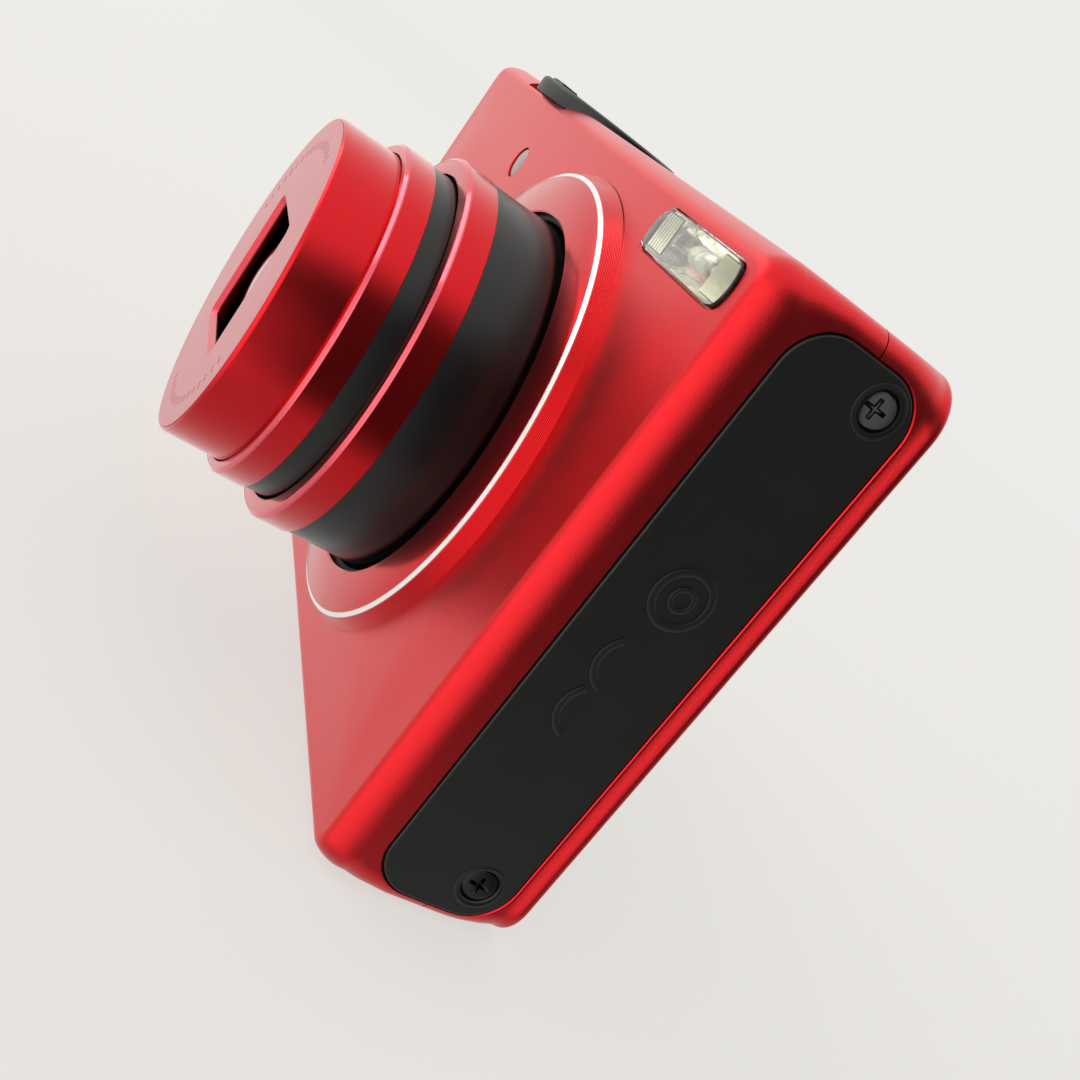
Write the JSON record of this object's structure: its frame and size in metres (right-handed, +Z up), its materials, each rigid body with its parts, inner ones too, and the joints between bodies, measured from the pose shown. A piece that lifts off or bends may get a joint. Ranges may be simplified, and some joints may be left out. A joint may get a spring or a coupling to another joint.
{
  "type": "compact digital camera",
  "caption": "Pocket digital camera with a telescoping zoom lens, flash window, rear display, keys, battery door and tripod socket.",
  "frame": {"origin": "mouth of the tripod socket on the base", "axes": "+X across the width towards the side cover, -Y the way the lens points, +Z up"},
  "size_m": [0.0952, 0.04, 0.0573],
  "materials": {
    "red_anodised": "bead-blasted red anodised aluminium, satin",
    "red_turned": "turned red anodised aluminium with bevelled silver edge",
    "black_plastic": "fine matte black moulded plastic",
    "black_screw": "black zinc-plated steel screws",
    "steel": "plain brushed steel",
    "chrome_key": "satin silver keys",
    "brass": "machined brass",
    "clear_glass": "clear moulded acrylic and glass",
    "lens_glass": "coated lens glass",
    "dark_window": "glossy dark display window",
    "board": "green solder mask on glass-fibre board",
    "cell": "dark grey shrink film and moulded ends",
    "card_blue": "moulded blue card shell",
    "rubber": "soft black rubber"
  },
  "bodies": {
    "casing": {"front_shell": "red_anodised", "rear_shell": "red_anodised", "side_cover": "black_plastic", "cover_screws": "black_screw", "base_screws": "steel", "chassis": "steel", "tripod_nut": "brass", "strap_lug": "steel", "lens_ring": "red_turned", "light_seal": "rubber", "fixed_barrel": "black_plastic", "zoom_motor": "steel", "lens_base": "black_plastic", "sensor_board": "board", "image_sensor": "lens_glass", "flash_window": "clear_glass", "flash_reflector": "steel", "flash_tube": "clear_glass", "flash_capacitor": "black_plastic", "focus_lamp": "clear_glass", "key_board": "board", "main_board": "board", "lcd_panel": "dark_window", "lcd_window": "dark_window", "speaker": "black_plastic", "microphone": "steel", "battery_frame": "black_plastic", "card_holder": "steel", "door_pin": "steel"},
    "stage_1": {"stage_1_tube": "black_plastic", "stage_1_ring": "red_turned"},
    "stage_2": {"stage_2_tube": "black_plastic", "stage_2_ring": "red_turned"},
    "stage_3": {"stage_3_sleeve": "red_turned", "front_plate": "red_turned", "lens_frame": "black_plastic", "front_glass": "lens_glass"},
    "upper_blade": {"blade_upper": "black_plastic"},
    "lower_blade": {"blade_lower": "black_plastic"},
    "cam": {"cam_ring": "steel"},
    "gear": {"drive_gear": "brass"},
    "focus": {"focus_group": "black_plastic"},
    "lever": {"zoom_lever": "black_plastic"},
    "shutter": {"shutter_button": "chrome_key"},
    "power": {"power_button": "chrome_key"},
    "mode": {"mode_switch": "black_plastic"},
    "movie": {"movie_button": "chrome_key"},
    "playback": {"playback_button": "chrome_key"},
    "display": {"display_button": "chrome_key"},
    "menu": {"menu_button": "chrome_key"},
    "mat": {"pad_mat": "rubber"},
    "pad": {"direction_ring": "chrome_key"},
    "set": {"set_button": "chrome_key"},
    "door": {"battery_door": "red_anodised"},
    "catch": {"door_catch": "black_plastic"},
    "cell": {"battery_pack": "cell"},
    "card": {"memory_card": "card_blue"},
    "terminal": {"terminal_door": "rubber"}
  },
  "joints": [
    {"name": "lens_retract", "type": "slide", "parent": "casing", "child": "stage_1", "axis": [0, 1, 0], "range_m": [0, 0.00915]},
    {"name": "stage_2_retract", "type": "slide", "parent": "stage_1", "child": "stage_2", "axis": [0, 1, 0], "range_m": [0, 0.0048]},
    {"name": "stage_3_retract", "type": "slide", "parent": "stage_2", "child": "stage_3", "axis": [0, 1, 0], "range_m": [0, 0.0053]},
    {"name": "cam_turn", "type": "hinge", "parent": "casing", "child": "cam", "pos_m": [0.0128, 0, 0.0285], "axis": [0, -1, 0], "range_deg": [0, 70.1]},
    {"name": "gear_spin", "type": "hinge", "parent": "casing", "child": "gear", "pos_m": [-0.00478, 0, 0.04608], "axis": [0, -1, 0], "range_deg": [-473.17, 0]},
    {"name": "focus_travel", "type": "slide", "parent": "casing", "child": "focus", "axis": [0, -1, 0], "range_m": [0, 0.0009]},
    {"name": "upper_blade_close", "type": "slide", "parent": "stage_3", "child": "upper_blade", "axis": [0, 0, -1], "range_m": [0, 0.00605]},
    {"name": "lower_blade_close", "type": "slide", "parent": "stage_3", "child": "lower_blade", "axis": [0, 0, 1], "range_m": [0, 0.00605]},
    {"name": "zoom_turn", "type": "hinge", "parent": "casing", "child": "lever", "pos_m": [-0.0185, 0.0005, 0.057], "axis": [0, 0, 1], "range_deg": [-20, 20], "stiffness_Nm_per_rad": 0.02},
    {"name": "shutter_press", "type": "slide", "parent": "casing", "child": "shutter", "axis": [0, 0, -1], "range_m": [0, 0.0008], "stiffness_N_per_m": 600},
    {"name": "power_press", "type": "slide", "parent": "casing", "child": "power", "axis": [0, 0, -1], "range_m": [0, 0.0003], "stiffness_N_per_m": 600},
    {"name": "mode_slide", "type": "slide", "parent": "casing", "child": "mode", "axis": [1, 0, 0], "range_m": [0, 0.0034]},
    {"name": "movie_press", "type": "slide", "parent": "casing", "child": "movie", "axis": [0, -1, 0], "range_m": [0, 0.0003], "stiffness_N_per_m": 600},
    {"name": "playback_press", "type": "slide", "parent": "casing", "child": "playback", "axis": [0, -1, 0], "range_m": [0, 0.0003], "stiffness_N_per_m": 600},
    {"name": "display_press", "type": "slide", "parent": "casing", "child": "display", "axis": [0, -1, 0], "range_m": [0, 0.0003], "stiffness_N_per_m": 600},
    {"name": "menu_press", "type": "slide", "parent": "casing", "child": "menu", "axis": [0, -1, 0], "range_m": [0, 0.0003], "stiffness_N_per_m": 600},
    {"name": "pad_tilt_up_down", "type": "hinge", "parent": "casing", "child": "mat", "pos_m": [-0.0335, 0.0086, 0.025], "axis": [1, 0, 0], "range_deg": [-2, 2], "stiffness_Nm_per_rad": 0.5},
    {"name": "pad_tilt_sideways", "type": "hinge", "parent": "mat", "child": "pad", "pos_m": [-0.0335, 0.0086, 0.025], "axis": [0, 0, 1], "range_deg": [-2, 2], "stiffness_Nm_per_rad": 0.5},
    {"name": "set_press", "type": "slide", "parent": "casing", "child": "set", "axis": [0, -1, 0], "range_m": [0, 0.0003], "stiffness_N_per_m": 600},
    {"name": "door_open", "type": "hinge", "parent": "casing", "child": "door", "pos_m": [-0.026, 0.0057, 0.00075], "axis": [1, 0, 0], "range_deg": [0, 95]},
    {"name": "catch_slide", "type": "slide", "parent": "door", "child": "catch", "axis": [-1, 0, 0], "range_m": [0, 0.001]},
    {"name": "battery_rise", "type": "slide", "parent": "casing", "child": "cell", "axis": [0, 0, -1], "range_m": [0, 0.0012]},
    {"name": "card_rise", "type": "slide", "parent": "casing", "child": "card", "axis": [0, 0, -1], "range_m": [0, 0.0012]},
    {"name": "terminal_door_open", "type": "hinge", "parent": "casing", "child": "terminal", "pos_m": [-0.04697, 0.007, 0.016], "axis": [0, 0, -1], "range_deg": [0, 95]}
  ],
  "couplings": [
    {"joint": "stage_2_retract", "follows": "lens_retract", "ratio": 0.52459},
    {"joint": "stage_3_retract", "follows": "lens_retract", "ratio": 0.57924},
    {"joint": "cam_turn", "follows": "lens_retract", "rad_per_m": 133.52},
    {"joint": "gear_spin", "follows": "lens_retract", "rad_per_m": -901.28},
    {"joint": "lower_blade_close", "follows": "upper_blade_close", "ratio": 1}
  ]
}
